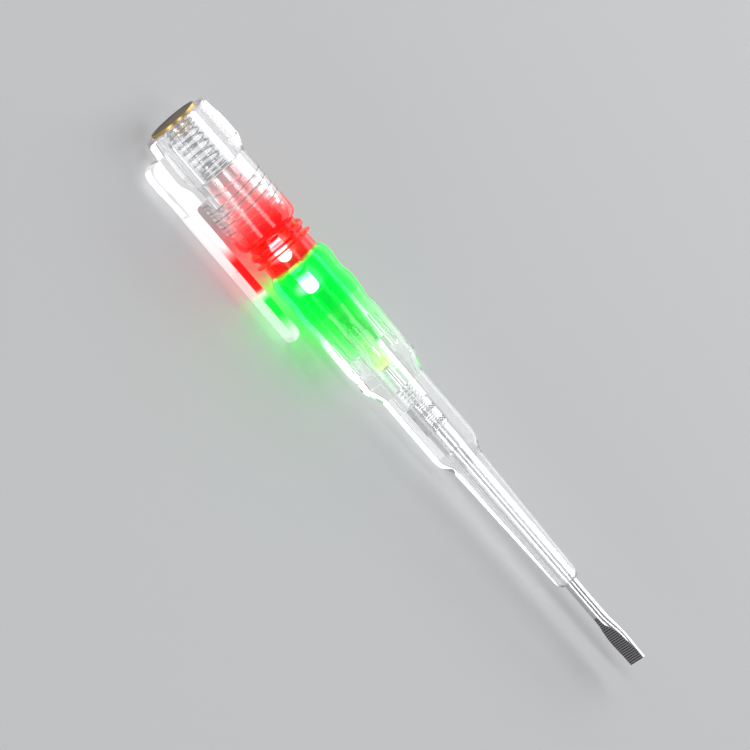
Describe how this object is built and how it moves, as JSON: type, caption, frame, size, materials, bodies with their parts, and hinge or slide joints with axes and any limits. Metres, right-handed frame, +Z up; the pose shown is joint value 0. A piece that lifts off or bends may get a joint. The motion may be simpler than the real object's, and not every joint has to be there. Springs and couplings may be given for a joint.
{
  "type": "voltage tester screwdriver",
  "caption": "Clear pocket voltage tester with a screwdriver blade, touch disc, button cells, indicator lamps, a screw-on rear housing and a pocket clip.",
  "frame": {"origin": "centre of the bounding box on the ground plane, with the tool lying on its head collar and clip", "axes": "+X along the tool from the touch disc to the blade tip, +Z up; the pocket clip is on the -Y side, 31 degrees below level"},
  "size_m": [0.15, 0.0202, 0.017],
  "materials": {
    "clear_plastic": "clear, glossy moulding",
    "brass": "brushed face with a bright rim",
    "spring_steel": "bright nickel plate",
    "cell_can": "bright drawn can",
    "tinned_wire": "tinned",
    "red_lamp": "lit, clear red resin",
    "green_lamp": "lit, clear green resin",
    "board_green": "satin solder mask",
    "black_resin": "moulded matte",
    "tan_ceramic": "fired ceramic",
    "resistor_yellow": "lacquered",
    "blade_steel": "turned shank, ground blade"
  },
  "bodies": {
    "front_body": {"front_housing": "clear_plastic", "cell_1": "cell_can", "cell_2": "cell_can", "cell_3": "cell_can", "cell_plate": "brass", "battery_lead": "tinned_wire", "red_led": "red_lamp", "red_led_lead_a": "tinned_wire", "red_led_lead_b": "tinned_wire", "green_led": "green_lamp", "green_led_lead_a": "tinned_wire", "green_led_lead_b": "tinned_wire", "circuit_board": "board_green", "sensing_chip": "black_resin", "transistor": "black_resin", "chip_resistor": "black_resin", "chip_capacitor": "tan_ceramic", "series_resistor": "resistor_yellow", "resistor_lead": "tinned_wire", "contact_pin": "spring_steel", "front_spring": "spring_steel", "shank": "blade_steel"},
    "tail_contact": {"touch_contact": "brass", "rear_spring": "spring_steel"},
    "rear_cover": {"rear_housing": "clear_plastic"},
    "clip_bar": {"pocket_clip": "clear_plastic"}
  },
  "joints": [
    {"name": "rear_housing_travel", "type": "slide", "parent": "front_body", "child": "tail_contact", "axis": [-1, 0, 0], "range_m": [0, 0.008], "deforming": ["rear_spring"]},
    {"name": "rear_housing_turn", "type": "hinge", "parent": "tail_contact", "child": "rear_cover", "pos_m": [-0.06, 0.00162, 0.0085], "axis": [-1, 0, 0], "range_deg": [0, 1440]},
    {"name": "clip_flex", "type": "hinge", "parent": "rear_cover", "child": "clip_bar", "pos_m": [-0.05785, -0.00789, 0.00278], "axis": [0, 0.5155, -0.8569], "range_deg": [0, 6], "stiffness_Nm_per_rad": 1.8}
  ],
  "couplings": [
    {"joint": "rear_housing_turn", "follows": "rear_housing_travel", "rad_per_m": 3141.6}
  ]
}
